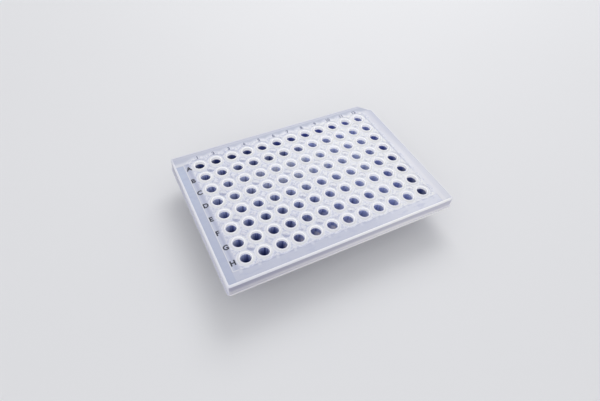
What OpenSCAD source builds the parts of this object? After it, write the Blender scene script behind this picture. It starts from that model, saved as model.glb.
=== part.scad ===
// Half-skirted well plate for thermal cycling.
// One injection-moulded piece: a deck with a short skirt, and a grid of thin conical wells.
// Millimetres. X runs along the numbered columns, Y towards the lettered row A, Z up.
// The origin is under the middle of the grid, on the surface that the well tips stand on.

/* [Grid] */
// Number of well columns, along X
columns = 12; // [4:2:12]
// Number of well rows, along Y
rows = 8; // [4:2:8]
// Distance between the axes of neighbouring wells
pitch = 9; // [8.8:0.1:11]

/* [Well] */
// Height of a well, from its tip to the crest of its rim
well_h = 20.9; // [17:0.1:26]
// Bore of the cylindrical stretch
well_d = 5.46; // [4.5:0.01:6.6]
// Length of the cylindrical stretch, from the crest of the rim
collar_h = 9.8; // [8.6:0.1:11.5]
// Wall of a well
well_wall = 0.42; // [0.3:0.01:0.6]
// Included angle of the conical stretch
cone_angle = 17.5; // [14:0.5:18]
// Latitude at which the round tip is cut flat
tip_latitude = 75; // [65:1:80]
// Height of a rim above the deck
rim_h = 0.6; // [0.5:0.05:0.9]
// Radius of the rounded crest of a rim
rim_round = 0.4; // [0.3:0.05:0.45]
// Distance from the bore to the highest line of the crest
rim_lead_in = 0.28; // [0.1:0.01:0.28]
// Slope of the outer flank of a rim
rim_slope = 45; // [35:1:60]
// Size of the bevel where a well leaves the underside of the deck
root_bevel = 0.5; // [0.2:0.05:0.8]

/* [Deck] */
// Distance from the axes of the end columns to the deck's edge
end_margin = 12.9; // [11.8:0.1:16]
// Distance from the axes of the outer rows to the deck's edge
side_margin = 10.9; // [9.8:0.05:14]
// Thickness of the deck
deck_t = 1.1; // [0.8:0.05:1.6]
// Radius of the plate's corners
corner_r = 1.5; // [1.2:0.1:3]
// Length that the cut corner takes off each side
corner_cut = 6.9; // [4:0.1:9]
// Width of the bead along the deck's edge
bead_w = 1; // [0.7:0.05:1.3]
// Height of the bead above the deck
bead_h = 0.15; // [0.1:0.05:0.4]
// Rounding of the bead's outer edge
bead_round = 0.6; // [0.2:0.05:0.7]

/* [Moats round the wells] */
// Distance that the round moats of neighbouring wells overlap
moat_overlap = 1.4; // [1:0.1:1.6]
// Depth of a moat below the deck
moat_depth = 0.2; // [0.15:0.05:0.4]

/* [Sunk borders] */
// Depth of the sunk borders below the deck
border_depth = 0.1; // [0.05:0.01:0.14]
// Distance from row A's axis to the upper end of the left border
left_border_end = 3.1; // [0:0.1:5]
// Distance from the last row's axis to the front border
front_border_gap = 4.6; // [4.4:0.1:4.9]
// Distance from the last column's axis to the right end of the front border
front_border_end = 6.3; // [5.8:0.1:8]

/* [Row letter channel] */
// Distance from the first column's axis to the channel under the row letters
channel_gap = 5.9; // [5.7:0.1:6.2]
// Width of the channel
channel_w = 1.7; // [1.2:0.1:1.9]
// Depth of the channel below the deck
channel_depth = 0.15; // [0.05:0.05:0.3]
// Distance from row A's axis to the upper end of the channel
channel_end = 3.6; // [2.5:0.1:5]
// Width of the ridge between the channel and the borders
ridge_w = 0.5; // [0.4:0.05:0.8]

/* [Gate marks] */
// Number of wells, along X and along Y, that one moulding gate feeds
gate_group = 2; // [2:2:4]
// Diameter of the round pit at a gate
pit_d = 3.9; // [3.2:0.1:4]
// Depth of a pit below the floor of the moats
pit_depth = 0.2; // [0.1:0.05:0.3]
// Diameter of the gate stub that stands in a pit
stub_d = 0.9; // [0.6:0.05:1.4]
// Height of the gate stub, from the floor of its pit
stub_h = 0.35; // [0.15:0.05:0.45]

/* [Skirt] */
// Height of the skirt, from the top of the bead to the underside of the foot lip
skirt_h = 7.35; // [6:0.05:11]
// Thickness of the skirt's wall
skirt_wall = 0.9; // [0.7:0.05:1.3]
// Distance that the wall stands back from the deck's edge
wall_inset = 0.15; // [0.05:0.05:0.3]
// Height of the band along the deck's edge, above the wall
band_h = 1.1; // [0.9:0.05:1.6]
// Distance that the foot lip stands out past the deck's edge
lip_out = 0.4; // [0.2:0.05:1]
// Height of the foot lip
lip_h = 0.9; // [0.6:0.05:1.5]
// Rounding of the foot lip
lip_round = 0.25; // [0.1:0.05:0.28]

/* [Underside ribs] */
// Distance from the axes of the end columns to the ribs that run along Y
end_rib_gap = 7.8; // [7:0.1:9]
// Distance from the axes of the outer rows to the ribs that run along X
side_rib_gap = 6.8; // [6:0.1:8]
// Thickness of a rib
rib_t = 0.8; // [0.5:0.05:1.2]
// Depth of a rib below the deck
rib_h = 3.2; // [1:0.1:4]
// Length of the short ribs between the outer wells, inward from the axes of those wells
web_reach = 1.2; // [0.5:0.1:3]

/* [Hidden] */
$fn = 48;

// Steps of a rounding, and the overlap of pieces that join
round_steps = 5;
overlap = 0.05;
// Room that a cut runs past the face it opens
clear = 1;

// Half of the grid: from the middle of the plate to the axes of its outer wells
grid_x = (columns - 1) * pitch / 2;
grid_y = (rows - 1) * pitch / 2;
// Half of the plate, to the deck's edge
half_l = grid_x + end_margin;
half_w = grid_y + side_margin;

// Levels of the deck, its sunk borders, its moats, its underside, its bead and the skirt's foot
deck_z = well_h - rim_h;
border_z = deck_z - border_depth;
moat_z = deck_z - moat_depth;
under_z = deck_z - deck_t;
bead_z = deck_z + bead_h;
foot_z = bead_z - skirt_h;

// The left border starts past the channel and the ridge, measured from the first column's axis
left_border_gap = channel_gap + channel_w + ridge_w;

// The wall of the skirt, measured out from the centres of the corner roundings
wall_out = corner_r - wall_inset;

// The well: its two cones share the centre of the round tip
bore_r = well_d / 2;
tube_r = bore_r + well_wall;
slope = cone_angle / 2;
cone_z = well_h - collar_h;
tip_sin = sin(tip_latitude);
ball_r = (bore_r - (cone_z - tip_sin * well_wall) * tan(slope))
    / (1 / cos(slope) - tip_sin * tan(slope));
tip_r = ball_r + well_wall;
tip_z = tip_r * tip_sin;

// The rim: centre of its crest, the point where the flank leaves it, and the flank's foot
crest = [bore_r + rim_lead_in, well_h - rim_round];
flank = crest + rim_round * [sin(rim_slope), cos(rim_slope)];
rim_foot_r = flank[0] + (flank[1] - moat_z) / tan(rim_slope);

// A moat is wider than the pitch, so neighbouring moats join and leave stars of deck
// standing between every four wells
moat_r = (pitch + moat_overlap) / 2;

// Points of an arc about c, from angle a to angle b
function arc(c, r, a, b, steps = round_steps) =
    [for (i = [0:steps]) c + r * [cos(a + (b - a) * i / steps), sin(a + (b - a) * i / steps)]];

// Corners of the plate at an inset from the deck's edge, anticlockwise from the
// front left. The back right corner is the cut one, so it counts as two.
function corners(inset) =
    let (x = half_l - inset, y = half_w - inset, cut = corner_cut - inset * (2 - sqrt(2)))
    [[-x, -y], [x, -y], [x, y - cut], [x - cut, y], [-x, y]];

// Centres of the corner roundings, and the direction that each side faces
spine = corners(corner_r);
sides = len(spine);
function side(i) = spine[(i + 1) % sides] - spine[i % sides];
function facing(i) = atan2(side(i)[1], side(i)[0]) - 90;
function turn(i) = (facing(i) - facing(i + sides - 1) + 360) % 360;

// Outline inside the plate's edge with its round corners, at an inset smaller than their radius
function outline(inset) =
    [for (i = [0:sides - 1])
        each arc(spine[i], corner_r - inset, facing(i) - turn(i), facing(i))];

// Profile of the plate's edge, which runs in from the bead, the band, the wall and the foot
// lip to a depth behind the centres of the corner roundings
module edge_profile(depth = 0) {
    lip_r = corner_r + lip_out;
    polygon(concat(
        [[-depth, bead_z], [-depth, foot_z]],
        arc([lip_r - lip_round, foot_z + lip_round], lip_round, -90, 0),
        arc([lip_r - lip_round, foot_z + lip_h - lip_round], lip_round, 0, 90),
        [[wall_out, foot_z + lip_h], [wall_out, bead_z - band_h], [corner_r, bead_z - band_h]],
        arc([corner_r - bead_round, bead_z - bead_round], bead_round, 0, 90)
    ));
}

// A straight length of the edge, facing +X, with its middle on the X axis
module edge_bar(length, depth = 0) {
    translate([0, length / 2])
        rotate([90, 0, 0])
            linear_extrude(length) edge_profile(depth);
}

// The solid block that the skirt and the deck are cut from, with all four corners round
module block() {
    x = half_l - corner_r;
    y = half_w - corner_r;
    translate([-x, -y, foot_z])
        cube([2 * x, 2 * y, bead_z - foot_z]);
    for (a = [0, 180]) {
        rotate(a) translate([x, 0]) edge_bar(2 * y);
        rotate(a + 90) translate([y, 0]) edge_bar(2 * x);
        rotate(a) translate([x, y]) rotate_extrude(angle = 90) edge_profile();
        rotate(a + 90) translate([y, x]) rotate_extrude(angle = 90) edge_profile();
    }
}

// A bar that reaches over the whole plate and ends in the edge of the cut corner
module cut_corner_bar() {
    reach = 2 * (half_l + half_w);
    out = (half_l + half_w - corner_cut) / sqrt(2) - corner_r;
    rotate(45)
        translate([out, 0])
            edge_bar(reach, reach);
}

// The skirt and the floor of the borders, with the bead round it
module skirt() {
    difference() {
        intersection() {
            block();
            cut_corner_bar();
        }
        translate([0, 0, foot_z - clear])
            linear_extrude(under_z - foot_z + clear)
                polygon(outline(wall_inset + skirt_wall));
        translate([0, 0, border_z])
            linear_extrude(clear)
                polygon(outline(bead_w));
    }
}

// The borders that lie lower than the deck, along its left and its front
module sunk_borders() {
    translate([-half_l, -half_w])
        square([half_l - grid_x - left_border_gap, half_w + grid_y + left_border_end]);
    translate([-half_l, -half_w])
        square([half_l + grid_x + front_border_end, half_w - grid_y - front_border_gap]);
}

// The deck, which stands on the floor of the borders
module deck() {
    translate([0, 0, border_z - overlap])
        linear_extrude(border_depth + overlap)
            difference() {
                polygon(outline(bead_w / 2));
                sunk_borders();
            }
}

// The channel for the row letters
module letter_channel() {
    foot = grid_y + front_border_gap - ridge_w;
    translate([-grid_x - channel_gap - channel_w, -foot, deck_z - channel_depth])
        cube([channel_w, foot + grid_y + channel_end, clear]);
}

// The round moat that a well's rim stands in
module moat() {
    translate([0, 0, moat_z])
        cylinder(r = moat_r, h = clear);
}

// Ribs round the grid, each running on to the skirt, and the short ribs that reach in from
// them between the outer wells
module ribs() {
    rib_x = grid_x + end_rib_gap;
    rib_y = grid_y + side_rib_gap;
    web_x = end_rib_gap + web_reach;
    web_y = side_rib_gap + web_reach;
    translate([0, 0, under_z - rib_h])
        linear_extrude(rib_h + overlap)
            intersection() {
                polygon(outline(wall_inset + skirt_wall / 2));
                for (s = [-1, 1]) {
                    translate([s * rib_x, 0])
                        square([rib_t, 2 * half_w], center = true);
                    translate([0, s * rib_y])
                        square([2 * half_l, rib_t], center = true);
                    for (x = [pitch / 2 - grid_x:pitch:grid_x])
                        translate([x, s * (rib_y - web_y / 2)])
                            square([rib_t, web_y], center = true);
                    for (y = [pitch / 2 - grid_y:pitch:grid_y])
                        translate([s * (rib_x - web_x / 2), y])
                            square([web_x, rib_t], center = true);
                }
            }
}

// Outside of a well, with its rim and the bevel under the deck
module well_body() {
    rotate_extrude() {
        polygon(concat(
            [[0, 0]],
            arc([0, tip_z], tip_r, -tip_latitude, -slope),
            [
                [tube_r, cone_z],
                [tube_r, under_z - root_bevel],
                [tube_r + root_bevel, under_z],
                [rim_foot_r, under_z + deck_t / 2],
                [rim_foot_r, moat_z],
                flank,
                crest,
                [0, crest[1]]
            ]
        ));
        translate(crest)
            circle(r = rim_round);
    }
}

// Inside of a well
module well_bore() {
    rotate_extrude()
        polygon(concat(
            [[0, tip_z - ball_r * tip_sin]],
            arc([0, tip_z], ball_r, -tip_latitude, -slope),
            [[bore_r, cone_z], [bore_r, well_h + clear], [0, well_h + clear]]
        ));
}

module at_wells() {
    for (x = [-grid_x:pitch:grid_x + pitch / 2], y = [-grid_y:pitch:grid_y + pitch / 2])
        translate([x, y]) children();
}

// The middle of each group of wells that one gate feeds
module at_gates() {
    first = (gate_group - 1) * pitch / 2;
    step = gate_group * pitch;
    for (x = [first - grid_x:step:grid_x], y = [first - grid_y:step:grid_y])
        translate([x, y]) children();
}

module gate_pit() {
    translate([0, 0, moat_z - pit_depth])
        cylinder(d = pit_d, h = clear);
}

module gate_stub() {
    translate([0, 0, moat_z - pit_depth - overlap])
        cylinder(d = stub_d, h = stub_h + overlap);
}

module well_plate() {
    color([0.9, 0.91, 0.94]) {
        difference() {
            union() {
                difference() {
                    union() {
                        skirt();
                        deck();
                        ribs();
                    }
                    letter_channel();
                    at_wells() moat();
                }
                at_wells() well_body();
            }
            at_wells() well_bore();
            at_gates() gate_pit();
        }
        at_gates() gate_stub();
    }
}

well_plate();
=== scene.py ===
import bmesh
import bpy
from mathutils import Matrix, Vector


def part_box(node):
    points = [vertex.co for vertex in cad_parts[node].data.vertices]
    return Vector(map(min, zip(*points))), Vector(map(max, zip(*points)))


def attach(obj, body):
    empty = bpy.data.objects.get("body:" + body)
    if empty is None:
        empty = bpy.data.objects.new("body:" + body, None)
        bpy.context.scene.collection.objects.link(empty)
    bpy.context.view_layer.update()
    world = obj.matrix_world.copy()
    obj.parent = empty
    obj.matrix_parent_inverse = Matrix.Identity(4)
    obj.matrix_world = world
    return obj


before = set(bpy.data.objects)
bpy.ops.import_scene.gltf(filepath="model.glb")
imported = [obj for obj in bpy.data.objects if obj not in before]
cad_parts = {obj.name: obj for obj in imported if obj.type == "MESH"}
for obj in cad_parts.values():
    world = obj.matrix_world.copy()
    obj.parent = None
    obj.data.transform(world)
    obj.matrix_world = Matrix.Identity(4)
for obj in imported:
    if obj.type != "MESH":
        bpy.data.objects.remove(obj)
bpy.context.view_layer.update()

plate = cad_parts["well_plate"]
PLATE_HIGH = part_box("well_plate")[1]

# ---------------------------------------------------------------- places on the plate
# Materials and print are written in millimetres, with x to the right along the numbers and y
# to the back, towards row A. The levels below are heights above the wells' tips.
MM = 0.001
PITCH = 9.0
END_X, END_Y = 49.5, 31.5          # axes of the outer wells
EDGE_X, EDGE_Y = 62.4, 42.4        # edges of the deck
RIM_INSIDE = 2.98                  # radius just inside the crest of a rim
MOAT_R = 5.2                       # the moats run into each other between the wells
LEFT_BORDER = -57.6                # right edge of the sunk border along the left
FRONT_BORDER = -36.1               # back edge of the sunk border along the front
CHANNEL_LEFT, CHANNEL_RIGHT = -57.1, -55.4
CHANNEL_FRONT, CHANNEL_BACK = -35.6, 35.1
TO_BACK = (0.52, 0.85)             # level direction along which the wells' shading changes
TO_SIDE = (0.889, -0.453)          # and the one across it, to the right
TOP = PLATE_HIGH.z / MM            # crests of the rims
DECK = TOP - 0.6
CHANNEL = DECK - 0.15              # floor of the channel under the row letters
MOAT = DECK - 0.2                  # floor of the moats
PIT = MOAT - 0.2                   # floor of the gate pits
LIP = TOP - 6.9                    # top of the skirt's foot lip


# ---------------------------------------------------------------- node writing
class Value:
    """A shader value that can be written with + - * / like a number."""
    tree = None

    def __init__(self, sock):
        self.sock = sock

    def __add__(self, other):
        return op("ADD", self, other)

    def __radd__(self, other):
        return op("ADD", other, self)

    def __sub__(self, other):
        return op("SUBTRACT", self, other)

    def __rsub__(self, other):
        return op("SUBTRACT", other, self)

    def __mul__(self, other):
        return op("MULTIPLY", self, other)

    def __rmul__(self, other):
        return op("MULTIPLY", other, self)

    def __truediv__(self, other):
        return op("DIVIDE", self, other)

    def __neg__(self):
        return op("MULTIPLY", self, -1.0)


def put(node, key, value):
    """Link a shader value to a socket, or set a plain number or colour on it."""
    if isinstance(value, Value):
        Value.tree.links.new(value.sock, node.inputs[key])
    else:
        node.inputs[key].default_value = value


def op(kind, a, b=0.0):
    """The result of a Math node."""
    n = Value.tree.nodes.new("ShaderNodeMath")
    n.operation = kind
    put(n, 0, a)
    put(n, 1, b)
    return Value(n.outputs[0])


def absolute(a):
    """a without its sign."""
    return op("ABSOLUTE", a)


def either(a, b):
    """The larger of two values."""
    return op("MAXIMUM", a, b)


def smooth(start, end, x, a=0.0, b=1.0):
    """a where x is before start, b where it is past end, and a soft step between."""
    n = Value.tree.nodes.new("ShaderNodeMapRange")
    n.interpolation_type = "SMOOTHSTEP"
    put(n, "Value", x)
    put(n, "From Min", start)
    put(n, "From Max", end)
    put(n, "To Min", a)
    put(n, "To Max", b)
    return Value(n.outputs["Result"])


def band(low, high, x, soft):
    """1 where x is between low and high, with edges that are soft wide."""
    rise = smooth(low - soft / 2, low + soft / 2, x)
    fall = smooth(high - soft / 2, high + soft / 2, x, 1.0, 0.0)
    return rise * fall


def along(direction, u, v):
    """How far u, v lies along a level direction."""
    return u * direction[0] + v * direction[1]


def vec(x, y, z):
    """A vector from its three parts."""
    n = Value.tree.nodes.new("ShaderNodeCombineXYZ")
    for i, value in enumerate((x, y, z)):
        put(n, i, value)
    return Value(n.outputs[0])


def parts(vector):
    """The x, y and z parts of a vector."""
    n = Value.tree.nodes.new("ShaderNodeSeparateXYZ")
    put(n, 0, vector)
    return [Value(out) for out in n.outputs]


def noise(point, scale, detail=2.0, rough=0.5, distortion=0.0):
    """Soft noise from 0 to 1, with features about 1 / scale millimetres wide."""
    n = Value.tree.nodes.new("ShaderNodeTexNoise")
    put(n, "Vector", point)
    put(n, "Scale", scale)
    put(n, "Detail", detail)
    put(n, "Roughness", rough)
    put(n, "Distortion", distortion)
    return Value(n.outputs["Fac"])


def mix(fac, a, b):
    """Colour a where fac is 0, colour b where it is 1."""
    n = Value.tree.nodes.new("ShaderNodeMix")
    n.data_type = "RGBA"
    put(n, 0, fac)
    put(n, 6, a)
    put(n, 7, b)
    return Value(n.outputs[2])


def rgb(r, g, b):
    """A linear colour from its 0 to 255 values."""
    return tuple((c / 255 / 12.92) if c <= 10 else ((c / 255 + 0.055) / 1.055) ** 2.4
                 for c in (r, g, b)) + (1.0,)


def material(name):
    """A new material, its shader, and the point (in millimetres) and normal on the object."""
    m = bpy.data.materials.new(name)
    m.use_nodes = True
    Value.tree = m.node_tree
    shader = next(n for n in Value.tree.nodes if n.type == "BSDF_PRINCIPLED")
    coords = Value.tree.nodes.new("ShaderNodeTexCoord")
    point = Value.tree.nodes.new("ShaderNodeVectorMath")
    point.operation = "SCALE"
    put(point, 0, Value(coords.outputs["Object"]))
    put(point, "Scale", 1 / MM)
    return m, shader, Value(point.outputs[0]), Value(coords.outputs["Normal"])


def bump(shader, height, distance, strength):
    """Bumps that are distance metres high where height is 1."""
    n = Value.tree.nodes.new("ShaderNodeBump")
    put(n, "Strength", strength)
    put(n, "Distance", distance)
    put(n, "Height", height)
    put(shader, "Normal", Value(n.outputs["Normal"]))


# ---------------------------------------------------------------- the plastic
# Numbers in smooth() and band() are millimetres on the plate, apart from normals and noise.
# A factor of mix() is a strength from 0 to 1.
def nearest(t, last):
    """The axis of the nearest well, along one direction."""
    middle = (op("FLOOR", t / PITCH) + 0.5) * PITCH
    return op("MAXIMUM", op("MINIMUM", middle, last), -last)


class Place:
    """Where a point of the plate's surface is, as shader values."""

    def __init__(self, point, normal):
        self.point = point
        self.x, self.y, self.z = parts(point)
        self.nx, self.ny, self.nz = parts(normal)
        # the axis of the nearest well, and the place beside it
        self.cx, self.cy = nearest(self.x, END_X), nearest(self.y, END_Y)
        self.u, self.v = self.x - self.cx, self.y - self.cy
        self.r = op("SQRT", self.u * self.u + self.v * self.v)
        self.faces_up = smooth(0.3, 0.7, self.nz)
        self.on_deck = self.faces_up * smooth(PIT - 0.1, PIT - 0.05, self.z)
        self.to_right = smooth(-60.0, 60.0, self.x)
        # painted light and shade between the wells: the deck is lighter to the right and darker at
        # the front left
        beyond = either(absolute(self.x) - END_X, absolute(self.y) - END_Y)
        self.painted_light_right = smooth(-25.0, 42.0, self.x + self.y * 0.2) * smooth(6.4, 4.2, beyond)
        self.painted_shade_front_left = smooth(-8.0, -40.0, self.x * 0.5 + self.y)
        # a fine crazed texture round the rims
        self.mottle = noise(point, 0.85, 4.0, 0.66, 0.6)
        self.crazed = self.faces_up * smooth(3.9, 4.5, self.r) * smooth(6.4, 7.4, self.r, 1.0, 0.0)

    def around(self, x, y, reach_x, reach_y):
        """1 in the wells at x, y, fading to 0 over the reach."""
        du, dv = (self.cx - x) / reach_x, (self.cy - y) / reach_y
        return smooth(0.0, 1.0, op("SQRT", du * du + dv * dv), 1.0, 0.0)


def facing(part_of_normal):
    """1 where the surface faces along a direction, from the normal's part along it."""
    return smooth(0.5, 0.9, part_of_normal)


def body_colour(at):
    """The body, with the cloudiness of unfilled polypropylene."""
    cloud = noise(at.point, 0.09, 3.0, 0.6)
    return mix(smooth(0.35, 0.7, cloud), rgb(222, 222, 234), rgb(217, 218, 231))


def skirt(at, colour):
    """The walls of the skirt, and the foot lip along the front, in painted shade and painted light.
    """
    wall = smooth(DECK - 0.1, DECK - 1.3, at.z)
    # painted shade: the front wall is darker at its upper left and towards its top, and painted
    # light makes it paler towards its foot
    run = smooth(-66.0, 46.0, at.x)
    low = smooth(TOP - 3.2, TOP - 6.4, at.z + smooth(30.0, 60.0, at.x) * 0.9)
    wall_top_painted_shade = mix(run, rgb(166, 165, 186), rgb(201, 200, 215))
    wall_foot_painted_light = mix(run, rgb(208, 206, 214), rgb(249, 247, 249))
    colour = mix(wall * facing(-at.ny), colour, mix(low, wall_top_painted_shade, wall_foot_painted_light))
    # painted shade: the left wall is darker at its foot and towards its back
    left_wall_painted_shade = mix(smooth(12.0, 36.0, at.y), rgb(231, 231, 242), rgb(204, 204, 215))
    left_wall_painted_shade = mix(smooth(TOP - 3.6, TOP - 6.2, at.z) * 0.35, left_wall_painted_shade, rgb(192, 193, 208))
    upper_back_painted_shade = smooth(22.0, 36.0, at.y) * smooth(TOP - 5.4, TOP - 2.2, at.z)
    left_wall_painted_shade = mix(upper_back_painted_shade, left_wall_painted_shade, rgb(166, 165, 178))
    colour = mix(wall * facing(-at.nx), colour, left_wall_painted_shade)
    # painted highlight: the foot lip is pale, palest to the right
    lip = smooth(LIP + 0.5, LIP + 0.1, at.z) * smooth(-EDGE_Y + 0.1, -EDGE_Y - 0.2, at.y)
    return mix(lip, colour, mix(at.to_right, rgb(236, 233, 238), rgb(252, 250, 251)))


def deck(at, colour):
    """The deck, with painted shade towards its right and back edges, and a paler painted strip near
    its right edge.
    """
    # painted light in a paler strip near the right edge, and painted shade at the back right
    painted_light_strip = band(55.8, 58.2, at.x, 1.0)
    tone = mix(painted_light_strip, rgb(220, 221, 230), rgb(226, 226, 234))
    back_right_painted_shade = smooth(-5.0, 20.0, at.y) * smooth(53.0, 54.0, at.x)
    tone = mix(back_right_painted_shade * 0.6, tone, rgb(205, 206, 220))
    colour = mix(at.on_deck, colour, tone)
    # painted shade along the right edge, strongest towards the back
    right_edge_painted_shade = smooth(57.6, 60.2, at.x) * smooth(-25.0, 30.0, at.y, 0.15, 1.0)
    colour = mix(at.on_deck * right_edge_painted_shade, colour, rgb(200, 203, 218))
    # painted shade along the back edge, wider at its left end and along its right half
    widening = smooth(-45.0, -58.0, at.x) * 0.9 + smooth(-30.0, 20.0, at.x)
    back_edge_painted_shade = smooth(36.6, 38.8, at.y + widening)
    tone = mix(smooth(-45.0, 5.0, at.x), rgb(196, 199, 215), rgb(183, 188, 206))
    tone = mix(smooth(39.6, 40.8, at.y) * 0.85, tone, rgb(205, 207, 221))
    return mix(at.on_deck * back_edge_painted_shade, colour, tone)


def between_wells(at, colour):
    """The deck and the moats between the wells, with painted light and painted shade."""
    tone = mix(at.painted_light_right, rgb(231, 232, 241), rgb(240, 240, 242))
    tone = mix(at.painted_shade_front_left, tone, rgb(224, 224, 234))
    colour = mix(at.on_deck * smooth(8.4, 5.6, at.r), colour, tone)
    # painted shade in the moats, darkest along their outer walls
    moat = at.on_deck * smooth(MOAT_R - 0.15, MOAT_R + 0.05, at.r, 1.0, 0.0)
    moat = moat * smooth(MOAT + 0.03, MOAT + 0.06, at.z, 1.0, 0.0)
    inner_tone = mix(at.painted_light_right, rgb(229, 230, 239), rgb(238, 238, 241))
    outer_painted_shade = mix(at.painted_light_right, rgb(213, 216, 231), rgb(229, 231, 237))
    colour = mix(moat, colour, mix(smooth(4.4, 5.0, at.r), inner_tone, outer_painted_shade))
    # painted shade: a darker line along the right of column 12's moats
    line = at.on_deck * band(54.2, 55.1, at.x, 0.5)
    line = line * smooth(-26.0, -8.0, at.y) * smooth(36.0, 35.0, at.y)
    colour = mix(line * 0.6, colour, rgb(188, 192, 210))
    crazing = at.crazed * smooth(0.46, 0.62, at.mottle) * (0.75 - at.painted_light_right * 0.3)
    return mix(crazing, colour, rgb(186, 190, 214))


def gate_marks(at, colour):
    """The pits between the wells, painted paler against their shade, with painted shade on their
    front side, most of all at the left.
    """
    pit = at.faces_up * band(PIT - 0.1, PIT + 0.1, at.z, 0.04) * smooth(4.3, 4.4, at.r)
    # painted light that lifts the pits out of their shade
    colour = mix(pit * 0.45, colour, rgb(244, 244, 248))
    # the place beside the pit's middle, which is half a pitch from the wells both ways
    beside_x = (absolute(at.u) - PITCH / 2) * op("SIGN", at.u)
    beside_y = (absolute(at.v) - PITCH / 2) * op("SIGN", at.v)
    shade = smooth(0.7, -0.9, along(TO_BACK, beside_x, beside_y))
    shade = shade * smooth(-45.0, 45.0, at.x, 0.85, 0.35)
    return mix(pit * shade, colour, rgb(156, 162, 194))


def borders(at, colour):
    """The sunk borders along the left and the front, and the channel under the row letters, in
    painted shade.
    """
    in_left = smooth(LEFT_BORDER - 0.05, LEFT_BORDER + 0.05, at.x, 1.0, 0.0)
    in_front = smooth(FRONT_BORDER - 0.1, FRONT_BORDER, at.y, 1.0, 0.0)
    sunk = at.faces_up * either(in_left, in_front) * band(TOP - 0.9, DECK - 0.05, at.z, 0.04)
    sunk = sunk * smooth(MOAT_R - 0.1, MOAT_R + 0.1, at.r)
    # painted shade on the sunk borders, darker towards the left, with streaks of uneven tone
    tone = mix(smooth(5.0, 50.0, at.x), rgb(197, 200, 217), rgb(220, 222, 234))
    left_border_painted_shade = mix(smooth(-12.0, 28.0, at.y), rgb(186, 192, 213), rgb(192, 200, 221))
    tone = mix(smooth(LEFT_BORDER, LEFT_BORDER - 0.1, at.x), tone, left_border_painted_shade)
    streaks = noise(vec(at.x * 0.35, at.y, at.z), 0.5, 3.0, 0.6)
    tone = mix(smooth(0.5, 0.68, streaks) * 0.35, tone, rgb(176, 182, 208))
    # painted shade: a dash in front of each well, and painted light: a pale mark between two
    off_axis = absolute(at.u)
    dash = band(-36.9, -35.8, at.y, 0.4) * smooth(3.9, 3.3, off_axis) * smooth(-54.0, -52.0, at.x)
    tone = mix(dash * smooth(-50.0, 20.0, at.x, 0.7, 0.35), tone, rgb(178, 183, 206))
    painted_light_mark = band(-37.6, -36.0, at.y, 0.8) * smooth(3.4, 4.3, off_axis) * smooth(5.6, 4.9, off_axis)
    tone = mix(painted_light_mark * 0.3, tone, rgb(232, 234, 242))
    colour = mix(sunk, colour, tone)
    # the channel, and the deck beside it, with painted shade that deepens towards the channel's
    # right wall
    strip = at.faces_up * band(CHANNEL_LEFT, -53.0, at.x, 0.1)
    strip = strip * band(CHANNEL_FRONT, CHANNEL_BACK, at.y, 0.1)
    strip = strip * smooth(4.6, MOAT_R + 0.1, at.r) * smooth(-55.2, -53.5, at.x, 1.0, 0.0)
    tone = mix(smooth(-56.6, -55.8, at.x), rgb(200, 204, 221), rgb(188, 192, 213))
    return mix(strip, colour, tone)


def edge_and_bead(at, colour):
    """The rounded edge of the deck and its bead, with a painted highlight, least at the back and
    along the right side.
    """
    outermost = either(absolute(at.x) - EDGE_X, absolute(at.y) - EDGE_Y)
    edge = smooth(DECK - 0.9, DECK - 0.2, at.z) * smooth(-0.7, -0.5, outermost)
    long_side = smooth(EDGE_Y - 1.4, EDGE_Y - 1.3, absolute(at.y))
    above_deck = smooth(0.02, 0.07, at.z - DECK - long_side * 0.06)
    bead = either(edge, above_deck * smooth(MOAT_R + 0.1, MOAT_R + 0.3, at.r))
    back_or_right = either(smooth(36.0, 40.0, at.y), smooth(59.0, 61.0, at.x) * 0.6)
    painted_highlight_tone = mix(at.to_right, rgb(238, 238, 246), rgb(254, 253, 255))
    return mix(bead, colour, mix(back_or_right, painted_highlight_tone, rgb(220, 221, 231)))


def rims(at, colour):
    """The rims, pale outside and inside, partly the thick plastic's own colour and partly painted
    light coming through it, and in painted shade inside at the front of the plate.
    """
    rim = smooth(3.3, 4.5, at.r, 1.0, 0.0) * smooth(TOP - 2.6, TOP - 2.2, at.z)
    colour = mix(rim, colour, rgb(246, 246, 249))
    # painted shade inside the rims at the front of the plate
    front_half = smooth(0.4, 2.0, -along(TO_BACK, at.u, at.v))
    shaded = front_half * smooth(4.0, -27.0, at.cy) * smooth(TOP - 1.0, TOP - 0.5, at.z)
    shaded = shaded * smooth(RIM_INSIDE + 0.08, RIM_INSIDE - 0.12, at.r)
    return mix(shaded * 0.8, colour, rgb(120, 126, 170))


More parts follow.
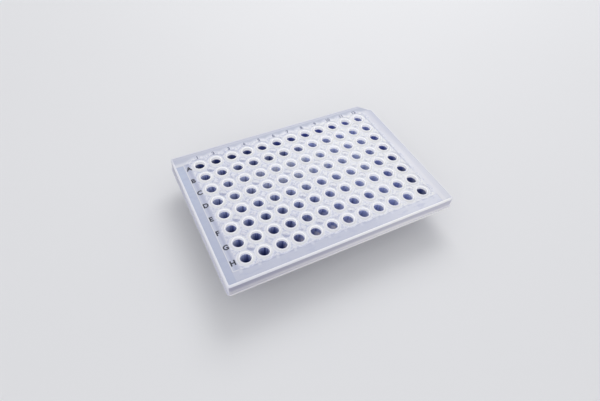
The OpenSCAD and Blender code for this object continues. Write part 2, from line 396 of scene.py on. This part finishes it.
class WellPlace(Place):
    """A place, with the values that the tones inside the wells share."""

    def __init__(self, point, normal):
        super().__init__(point, normal)
        # above a ledge, which lies deeper in the back rows, the wall keeps the rims' pale colour
        # and gets a painted glow of light coming through the plastic
        inward = self.nz - (self.nx * self.u + self.ny * self.v) / either(self.r, 0.05)
        self.faces_in = op("GREATER_THAN", inward, 0.0)
        ledge = smooth(-36.0, -27.0, self.cy, 1.65, 1.85) + smooth(20.0, 30.0, self.cy, 0.0, 0.3)
        self.above_ledge = smooth(-0.3, 0.3, self.z - TOP + ledge)
        in_bore = smooth(RIM_INSIDE - 0.18, RIM_INSIDE, self.r, 1.0, 0.0)
        self.deep = self.faces_in * in_bore * (1.0 - self.above_ledge)
        # across the mouth, from its left to its right
        self.side = along(TO_SIDE, self.u, self.v)
        down_wall = vec(self.side + self.cx * 3.1, self.cy * 2.3, self.z * 0.05)
        self.streak = noise(down_wall, 1.5, 3.0, 0.6)
        # painted shade darkens row A, column 12 and row B, and painted light makes the wells round
        # C5 and D5 pale
        in_column_12 = op("GREATER_THAN", self.x, END_X - PITCH / 2)
        in_row_a = op("GREATER_THAN", self.y, END_Y - PITCH / 2)
        self.outer = either(in_column_12, in_row_a)
        self.pale_middle_painted_light = self.around(-12.5, 9.5, 26.0, 19.0)
        self.row_b_painted_shade = self.around(-12.0, 22.5, 32.0, 8.0)
        # painted light: the foot of the wells round H6 is lit from outside
        lit_foot = self.around(-7.0, -31.0, 26.0, 17.0) * smooth(TOP - 3.7, TOP - 5.2, self.z)
        self.lit_foot = lit_foot * smooth(-0.9, 0.9, self.side)


def slate_blue(at):
    """The wells' main tone, in painted shade: slate blue, darker in the depth, with darker streaks.
    """
    depth_painted_shade = mix(smooth(-30.0, 30.0, at.x), rgb(92, 98, 160), rgb(164, 172, 228))
    well = mix(smooth(TOP - 8.0, TOP - 1.5, at.z), depth_painted_shade, rgb(190, 198, 240))
    strength = smooth(30.0, -15.0, at.cx, 0.45, 1.0)
    return mix(smooth(0.46, 0.64, at.streak) * strength, well, rgb(92, 100, 166))


def painted_light_by_region(at, well):
    """Painted shade and light: regions of the plate whose wells are darker or paler than the
    others.
    """
    front_left = at.around(-36.0, -27.0, 34.0, 26.0) * 0.2
    well = mix(front_left, well, rgb(76, 82, 142))
    left = at.around(-36.0, 9.0, 24.0, 13.0) * 0.55
    well = mix(left, well, rgb(214, 218, 242))
    right = at.around(28.0, 2.0, 24.0, 22.0) * 0.3
    well = mix(right, well, rgb(230, 234, 244))
    rows_e_f = at.around(-8.0, -9.0, 60.0, 15.0) * 0.35
    round_d7 = at.around(9.0, 6.5, 15.0, 13.0) * 0.4
    well = mix(rows_e_f + round_d7, well, rgb(214, 220, 252))
    pale = at.pale_middle_painted_light * smooth(0.2, 2.0, at.side, 0.9, 0.6)
    well = mix(pale, well, rgb(238, 240, 255))
    well = mix(at.row_b_painted_shade * 0.5, well, rgb(40, 46, 118))
    column_11 = at.around(40.5, -9.0, 8.0, 30.0) * 0.6
    return mix(column_11, well, rgb(104, 114, 190))


def outer_wells(at, well):
    """Row A and column 12, in navy painted shade, least of all round A12."""
    corner = at.around(52.0, 30.0, 22.0, 26.0) * 0.5
    far_left = at.around(-45.0, 31.5, 26.0, 8.0) * 0.12
    run = smooth(-50.0, 36.0, at.x) * smooth(-32.0, 20.0, at.y)
    navy = mix(run, rgb(12, 24, 112), rgb(38, 56, 168))
    return mix(at.outer * (0.86 + far_left - corner), well, navy)


def painted_line_and_streak(at, well):
    """The painted shade of a dark line down each well, and a painted highlight in a white streak in
    the middle of the pale wells.
    """
    # painted shade on the right of the wells round B1 to B4
    right_of_b_painted_shade = at.around(-40.0, 22.5, 24.0, 6.0) * smooth(0.3, 1.5, at.side)
    well = mix(right_of_b_painted_shade * 0.8, well, rgb(30, 38, 112))
    painted_dark_line = band(-0.1, 0.7, at.side + (at.streak - 0.5) * 0.8, 0.4)
    to_left = smooth(24.0, -30.0, at.cx) * (0.75 - at.pale_middle_painted_light * 0.6)
    painted_dark_line = painted_dark_line * either(to_left, at.row_b_painted_shade)
    well = mix(painted_dark_line * (1.0 - at.outer) * 0.9, well, rgb(24, 32, 112))
    painted_highlight_streak = smooth(1.7, 0.4, absolute(at.side)) * band(TOP - 5.2, TOP - 2.6, at.z, 1.0)
    painted_highlight_streak = painted_highlight_streak * at.pale_middle_painted_light * smooth(21.0, 15.0, at.cy)
    return mix(painted_highlight_streak * 0.4, well, rgb(255, 252, 255))


def sides(at, well):
    """The left and right sides of the wells, in painted light, paler than the middle."""
    lit_right = 0.5 - at.outer * smooth(10.0, -40.0, at.cx, 0.2, 0.5) - at.pale_middle_painted_light * 0.6
    lit_right = lit_right + at.around(-42.0, 11.0, 17.0, 10.0) * 0.4
    well = mix(smooth(0.9, 2.5, at.side) * lit_right, well, rgb(234, 236, 248))
    lit_left = 0.5 + at.around(-45.0, -9.0, 32.0, 26.0) * 0.25
    lit_left = lit_left + at.around(13.0, 9.0, 18.0, 11.0) * 0.35
    lit_left = lit_left - at.around(-4.0, -33.0, 24.0, 14.0) * 0.95 - at.outer * 0.2
    lit_left = lit_left + at.around(-50.0, -18.0, 12.0, 30.0) * 0.35
    well = mix(smooth(-0.5, -2.3, at.side) * lit_left, well, rgb(214, 219, 242))
    round_c7_painted_light = at.around(8.0, 9.0, 24.0, 14.0) * smooth(0.6, -0.9, at.side)
    return mix(round_c7_painted_light, well, rgb(240, 243, 252))


def front_rows(at, well):
    """Rows G and H, in painted shade under the ledge and painted light at the foot, with a painted
    warm glint in row H.
    """
    painted_shade_under_ledge = at.around(-9.0, -31.5, 26.0, 8.0) * smooth(TOP - 4.4, TOP - 2.6, at.z)
    well = mix(painted_shade_under_ledge * 0.35, well, rgb(80, 88, 150))
    well = mix(at.lit_foot * 0.95, well, rgb(226, 224, 242))
    glint = smooth(-26.0, -29.0, at.cy) * band(-33.0, 5.0, at.cx, 12.0)
    glint = glint * smooth(0.9, 1.7, at.side) * smooth(TOP - 3.6, TOP - 5.4, at.z)
    return mix(glint * 0.8, well, rgb(255, 238, 230))


def wells(at, colour):
    """The inside of the wells, below the rims' ledge, in painted shade and light."""
    well = slate_blue(at)
    for tone in (painted_light_by_region, outer_wells, painted_line_and_streak, sides, front_rows):
        well = tone(at, well)
    # the plastic's own tint makes every well a little bluer
    well = mix(0.1, well, rgb(176, 206, 255))
    return mix(at.deep, colour, well)


def polypropylene():
    """Translucent moulded plastic, with painted light and shade in the tones of each part of the
    plate.
    """
    m, shader, point, normal = material("polypropylene")
    at = WellPlace(point, normal)
    colour = body_colour(at)
    for region in (skirt, deck, between_wells, gate_marks, borders, edge_and_bead, rims, wells):
        colour = region(at, colour)
    put(shader, "Base Color", colour)
    grain = noise(point, 2.2, 3.0, 0.6)
    put(shader, "Roughness", smooth(0.3, 0.7, grain, 0.34, 0.46))
    put(shader, "IOR", 1.49)
    put(shader, "Subsurface Weight", 0.25)
    put(shader, "Subsurface Radius", (1.0, 1.0, 1.15))
    put(shader, "Subsurface Scale", 0.0012)
    # a painted glow for light that comes through the plastic from behind, inside each rim and at
    # the lit feet
    rim_painted_glow = smooth(RIM_INSIDE - 0.08, RIM_INSIDE + 0.02, at.r, 1.0, 0.0)
    rim_painted_glow = rim_painted_glow * at.faces_in * at.above_ledge
    put(shader, "Emission Color", rgb(250, 249, 252))
    put(shader, "Emission Strength", rim_painted_glow * 0.21 + at.deep * at.lit_foot * 0.07)
    bump(shader, grain * 0.2 + at.mottle * at.crazed * 0.6, 0.00010, 0.5)
    return m


def ink(name, colour, worn):
    """Printing ink with fine specks in its worn colour."""
    m, shader, point, _ = material(name)
    speck = noise(point, 3.0, 2.0, 0.5)
    put(shader, "Base Color", mix(smooth(0.35, 0.7, speck), colour, worn))
    put(shader, "Roughness", smooth(0.3, 0.7, speck, 0.45, 0.6))
    return m


plate.data.materials.clear()
plate.data.materials.append(polypropylene())

# ---------------------------------------------------------------- print
letters_ink = ink("ink_letters", rgb(30, 32, 50), rgb(54, 56, 76))
digits_ink = ink("ink_digits", rgb(116, 122, 150), rgb(144, 150, 174))
FONT_SIZE = 1.37                   # of Blender's font, for each millimetre of a capital's height
INK_LIFT = 0.012
LETTER_LEFT = -57.0
FIRST_LETTER_Y = 31.42
LETTER_HEIGHT, LETTER_WEIGHT = 2.75, 0.16
FIRST_DIGIT_X = -48.85
DIGIT_Y = 37.83
DIGIT_HEIGHT, DIGIT_WEIGHT = 2.05, 0.15


def glyph(text, x, y, height, weight, across=0.5):
    """The flat mesh of printed characters.

    Its middle is at y, and x is its middle too, or its left edge where across is 0.
    """
    curve = bpy.data.curves.new("mark_" + text, "FONT")
    curve.body = text
    curve.align_x = "CENTER"
    curve.align_y = "CENTER"
    curve.size = height * FONT_SIZE * MM
    curve.offset = weight * MM
    curve.resolution_u = 4
    flat = bpy.data.objects.new("mark_" + text, curve)
    bpy.context.scene.collection.objects.link(flat)
    bpy.context.view_layer.update()
    mesh = bpy.data.meshes.new_from_object(flat)
    bpy.data.objects.remove(flat)
    xs = [vertex.co.x for vertex in mesh.vertices]
    ys = [vertex.co.y for vertex in mesh.vertices]
    own_x = min(xs) + (max(xs) - min(xs)) * across
    own_y = (min(ys) + max(ys)) / 2
    mesh.transform(Matrix.Translation(Vector((x * MM - own_x, y * MM - own_y, 0))))
    return mesh


def lay(name, mesh, z, mat):
    """Put a printed mesh on the level z and let it ride with the plate."""
    mesh.transform(Matrix.Translation(Vector((0, 0, (z + INK_LIFT) * MM))))
    mesh.materials.clear()
    mesh.materials.append(mat)
    o = bpy.data.objects.new(name, mesh)
    bpy.context.scene.collection.objects.link(o)
    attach(o, "root")


def side_of(mesh, x, left):
    """What lies left of x, or right of it, as a mesh of its own."""
    bm = bmesh.new()
    bm.from_mesh(mesh)
    bmesh.ops.bisect_plane(bm, geom=bm.verts[:] + bm.edges[:] + bm.faces[:], dist=1e-7,
                           plane_co=(x * MM, 0, 0), plane_no=(1, 0, 0),
                           clear_outer=left, clear_inner=not left)
    part = bpy.data.meshes.new(mesh.name)
    bm.to_mesh(part)
    bm.free()
    return part


# a letter lies on the channel's floor and runs on over the deck beside it
for i, letter in enumerate("ABCDEFGH"):
    letter_y = FIRST_LETTER_Y - PITCH * i
    mesh = glyph(letter, LETTER_LEFT, letter_y, LETTER_HEIGHT, LETTER_WEIGHT, across=0.0)
    lay("letter_" + letter, side_of(mesh, CHANNEL_RIGHT, True), CHANNEL, letters_ink)
    lay("letter_" + letter + "_deck", side_of(mesh, CHANNEL_RIGHT, False), DECK, letters_ink)
for i in range(12):
    mesh = glyph(str(i + 1), FIRST_DIGIT_X + PITCH * i, DIGIT_Y, DIGIT_HEIGHT, DIGIT_WEIGHT)
    lay("digit_%d" % (i + 1), mesh, DECK, digits_ink)

# ---------------------------------------------------------------- stage
FLOOR_SIZE = 6                     # metres, as all that follows is


def floor_material():
    """A plain pale floor, faintly uneven."""
    m, shader, point, _ = material("floor")
    put(shader, "Base Color", mix(noise(point, 0.004, 2.0), rgb(232, 232, 234), rgb(236, 236, 238)))
    put(shader, "Roughness", 0.6)
    return m


bpy.ops.mesh.primitive_plane_add(size=FLOOR_SIZE, location=(0, 0, 0))
floor = bpy.context.object
floor.name = "floor"
floor.data.materials.append(floor_material())

world = bpy.data.worlds.new("studio")
bpy.context.scene.world = world
world.use_nodes = True
put(world.node_tree.nodes["Background"], "Color", (0.97, 0.98, 1.0, 1.0))
put(world.node_tree.nodes["Background"], "Strength", 0.62)


def lamp(name, place, width, height, power):
    """A rectangular lamp that points at the plate."""
    data = bpy.data.lights.new(name, "AREA")
    data.shape = "RECTANGLE"
    data.size = width
    data.size_y = height
    data.energy = power
    o = bpy.data.objects.new(name, data)
    o.location = place
    o.rotation_euler = (-Vector(place)).to_track_quat("-Z", "Y").to_euler()
    bpy.context.scene.collection.objects.link(o)


lamp("key", (0.40, 0.55, 0.70), 0.6, 0.5, 3.2)
lamp("fill", (-0.6, -0.7, 0.5), 0.9, 0.9, 2.0)

# ---------------------------------------------------------------- camera
# its place and the directions to its right and ahead were fitted to the photo
CAMERA_PLACE = Vector((-0.08642, -0.13170, 0.18819))
CAMERA_RIGHT = Vector((0.89379, -0.44506, 0.05541)).normalized()
CAMERA_AHEAD = Vector((0.32417, 0.55570, -0.76558))
cam_data = bpy.data.cameras.new("camera")
cam_data.sensor_width = 36.0
cam_data.lens = 26.213
cam_data.shift_x = 0.0128          # the photo was cropped a little off its middle
cam_data.clip_start = 0.01
cam = bpy.data.objects.new("camera", cam_data)
bpy.context.scene.collection.objects.link(cam)
ahead = (CAMERA_AHEAD - CAMERA_RIGHT * CAMERA_AHEAD.dot(CAMERA_RIGHT)).normalized()
camera_up = CAMERA_RIGHT.cross(ahead)
turn = Matrix((CAMERA_RIGHT, camera_up, -ahead)).transposed()
cam.matrix_world = Matrix.Translation(CAMERA_PLACE) @ turn.to_4x4()
bpy.context.scene.camera = cam

bpy.context.scene.view_settings.view_transform = "Standard"
